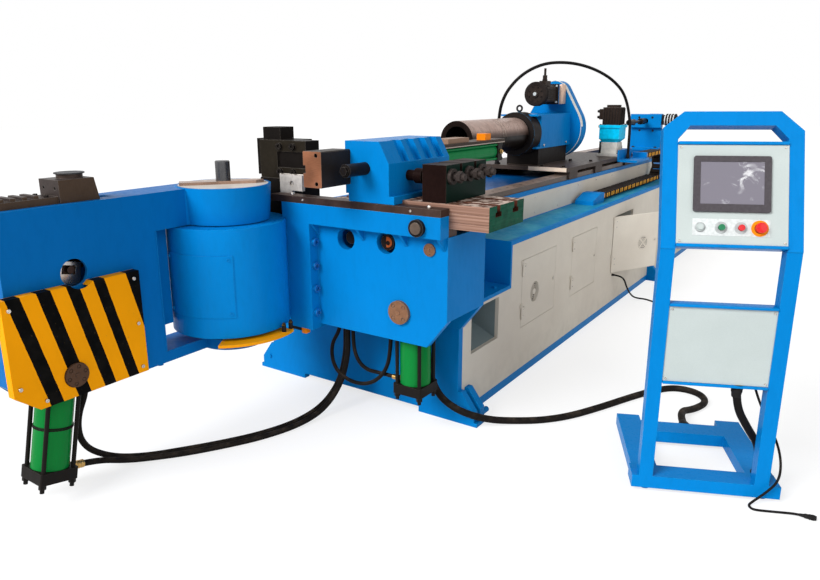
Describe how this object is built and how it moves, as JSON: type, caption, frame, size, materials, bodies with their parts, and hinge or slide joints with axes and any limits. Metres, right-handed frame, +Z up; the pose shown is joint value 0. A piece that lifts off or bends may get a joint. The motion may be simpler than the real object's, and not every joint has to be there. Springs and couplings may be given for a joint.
{
  "type": "cnc mandrel pipe bender",
  "caption": "Hydraulic rotary draw tube bending machine: long bed with feed carriage, swinging bend arm, pressure die slide and a free-standing operator console.",
  "frame": {"origin": "floor under the middle of the bed, on the bed's centre plane", "axes": "+Z up, +Y from the bend head towards the rear of the bed, +X to the operator's side, where the console stands"},
  "size_m": [3.0107, 7.595, 1.9081],
  "materials": {
    "blue_paint": "glossy machine enamel",
    "panel_paint": "fine textured cream-grey enamel",
    "console_paint": "light grey enamel",
    "dark_steel": "blackened machined steel",
    "ground_steel": "ground steel",
    "cylinder_green": "green enamel",
    "cylinder_black": "black enamel",
    "guard_yellow": "orange-yellow enamel",
    "servo_black": "black powder coat",
    "hose_rubber": "matt black rubber",
    "chain_plastic": "black nylon",
    "device_plastic": "grey switchgear plastic and plate",
    "bezel_plastic": "grey plastic",
    "screen": "dark glossy display",
    "button_green": "green plastic",
    "button_red": "red plastic"
  },
  "bodies": {
    "machine": {"bed_base": "blue_paint", "bed_deck": "blue_paint", "right_side_panel": "panel_paint", "left_side_panel": "panel_paint", "electrical_box": "device_plastic", "upper_beam": "blue_paint", "upper_side_panels": "panel_paint", "guideways": "ground_steel", "bend_head_frame": "blue_paint", "head_top_plate": "dark_steel", "head_fasteners": "dark_steel", "drum_housing": "blue_paint", "sensor_plate": "guard_yellow", "wiper_holder": "dark_steel", "pressure_cylinder_tube": "cylinder_green", "pressure_cylinder_caps": "cylinder_black", "mandrel_stand": "blue_paint", "drag_chain": "chain_plastic", "console_frame": "blue_paint", "console_lower_panel": "console_paint", "console_panel": "console_paint", "hmi_bezel": "bezel_plastic", "hmi_screen": "screen", "head_hoses": "hose_rubber", "arm_hoses": "hose_rubber", "console_conduit": "hose_rubber", "console_cable": "hose_rubber", "console_lead": "hose_rubber", "cabinet_cable": "hose_rubber"},
    "front_hatch": {"front_hatch": "panel_paint"},
    "middle_hatch": {"middle_hatch": "panel_paint"},
    "cabinet_door": {"cabinet_door": "panel_paint"},
    "bend_arm": {"bend_spindle": "dark_steel", "arm_frame": "blue_paint", "arm_guard": "guard_yellow", "clamp_cylinder_tube": "cylinder_green", "clamp_cylinder_caps": "cylinder_black"},
    "clamp_rod": {"clamp_rod": "dark_steel"},
    "clamp_lever": {"clamp_lever": "dark_steel"},
    "clamp_block": {"clamp_block": "dark_steel"},
    "pressure_slide": {"t_slot_saddle": "dark_steel", "pressure_block": "blue_paint", "pressure_plate": "ground_steel", "adjuster_block": "dark_steel", "booster_cylinder": "cylinder_black"},
    "booster_rod": {"booster_rod": "ground_steel"},
    "pressure_rod": {"pressure_rod": "dark_steel"},
    "pressure_lever": {"pressure_lever": "dark_steel"},
    "carriage": {"carriage_plate": "dark_steel", "spindle_housing": "blue_paint", "belt_cover": "blue_paint", "spin_servo": "servo_black", "feed_servo": "servo_black", "carriage_cable": "hose_rubber"},
    "chuck_spindle": {"chuck_spindle": "dark_steel"},
    "feed_pinion": {"feed_pinion": "ground_steel"},
    "mandrel_rod": {"mandrel_rod": "ground_steel"},
    "start_button": {"start_button": "button_green"},
    "stop_button": {"stop_button": "button_red"},
    "emergency_stop": {"emergency_stop": "button_red"}
  },
  "joints": [
    {"name": "arm_swing", "type": "hinge", "parent": "machine", "child": "bend_arm", "pos_m": [-0.318, -3.453, 0.8], "axis": [0, 0, 1], "range_deg": [-95, 90], "deforming": ["arm_hoses"]},
    {"name": "clamp_travel", "type": "slide", "parent": "bend_arm", "child": "clamp_block", "axis": [0, 1, 0], "range_m": [0, 0.08]},
    {"name": "clamp_lever_turn", "type": "hinge", "parent": "bend_arm", "child": "clamp_lever", "pos_m": [-0.425, -4.09, 0.985], "axis": [1, 0, 0], "range_deg": [-22, 0.5]},
    {"name": "clamp_rod_stroke", "type": "slide", "parent": "bend_arm", "child": "clamp_rod", "axis": [0, 0.2079, 0.9781], "range_m": [-0.001, 0.055]},
    {"name": "pressure_travel", "type": "slide", "parent": "machine", "child": "pressure_slide", "axis": [1, 0, 0], "range_m": [-0.06, 0.02]},
    {"name": "pressure_lever_turn", "type": "hinge", "parent": "machine", "child": "pressure_lever", "pos_m": [0.455, -3.065, 0.986], "axis": [0, 1, 0], "range_deg": [-29.5, 10]},
    {"name": "pressure_rod_stroke", "type": "slide", "parent": "machine", "child": "pressure_rod", "axis": [0, 0, 1], "range_m": [-0.015, 0.043]},
    {"name": "booster_stroke", "type": "slide", "parent": "pressure_slide", "child": "booster_rod", "axis": [0, 1, 0], "range_m": [-0.02, 0.13]},
    {"name": "carriage_feed", "type": "slide", "parent": "machine", "child": "carriage", "axis": [0, 1, 0], "range_m": [-0.9, 0.9], "deforming": ["drag_chain"]},
    {"name": "feed_pinion_spin", "type": "hinge", "parent": "carriage", "child": "feed_pinion", "pos_m": [0.3, 0.45, 1.087], "axis": [0, 0, 1], "continuous": true},
    {"name": "chuck_spin", "type": "hinge", "parent": "carriage", "child": "chuck_spindle", "pos_m": [0, -0.45, 1.367], "axis": [0, 1, 0], "continuous": true},
    {"name": "mandrel_stroke", "type": "slide", "parent": "machine", "child": "mandrel_rod", "axis": [0, 1, 0], "range_m": [-0.1, 0.05]},
    {"name": "start_button_press", "type": "slide", "parent": "machine", "child": "start_button", "axis": [-0.3854, 0.8615, -0.3305], "range_m": [0, 0.004], "stiffness_N_per_m": 900, "springref_m": -0.002},
    {"name": "stop_button_press", "type": "slide", "parent": "machine", "child": "stop_button", "axis": [-0.3854, 0.8615, -0.3305], "range_m": [0, 0.004], "stiffness_N_per_m": 900, "springref_m": -0.002},
    {"name": "emergency_stop_press", "type": "slide", "parent": "machine", "child": "emergency_stop", "axis": [-0.3854, 0.8615, -0.3305], "range_m": [0, 0.006], "stiffness_N_per_m": 900, "springref_m": -0.002},
    {"name": "front_hatch_swing", "type": "hinge", "parent": "machine", "child": "front_hatch", "pos_m": [0.656, -2.1185, 0.5], "axis": [0, 0, -1], "range_deg": [0, 100]},
    {"name": "middle_hatch_swing", "type": "hinge", "parent": "machine", "child": "middle_hatch", "pos_m": [0.656, -1.3285, 0.5], "axis": [0, 0, -1], "range_deg": [0, 100]},
    {"name": "cabinet_door_swing", "type": "hinge", "parent": "machine", "child": "cabinet_door", "pos_m": [0.656, -0.4635, 0.5], "axis": [0, 0, -1], "range_deg": [-26, 74]}
  ],
  "couplings": [
    {"joint": "clamp_lever_turn", "follows": "clamp_travel", "rad_per_m": -4.65},
    {"joint": "clamp_rod_stroke", "follows": "clamp_travel", "ratio": 0.635},
    {"joint": "pressure_lever_turn", "follows": "pressure_travel", "rad_per_m": 8.2},
    {"joint": "pressure_rod_stroke", "follows": "pressure_travel", "ratio": -0.66},
    {"joint": "feed_pinion_spin", "follows": "carriage_feed", "rad_per_m": 31.25}
  ]
}
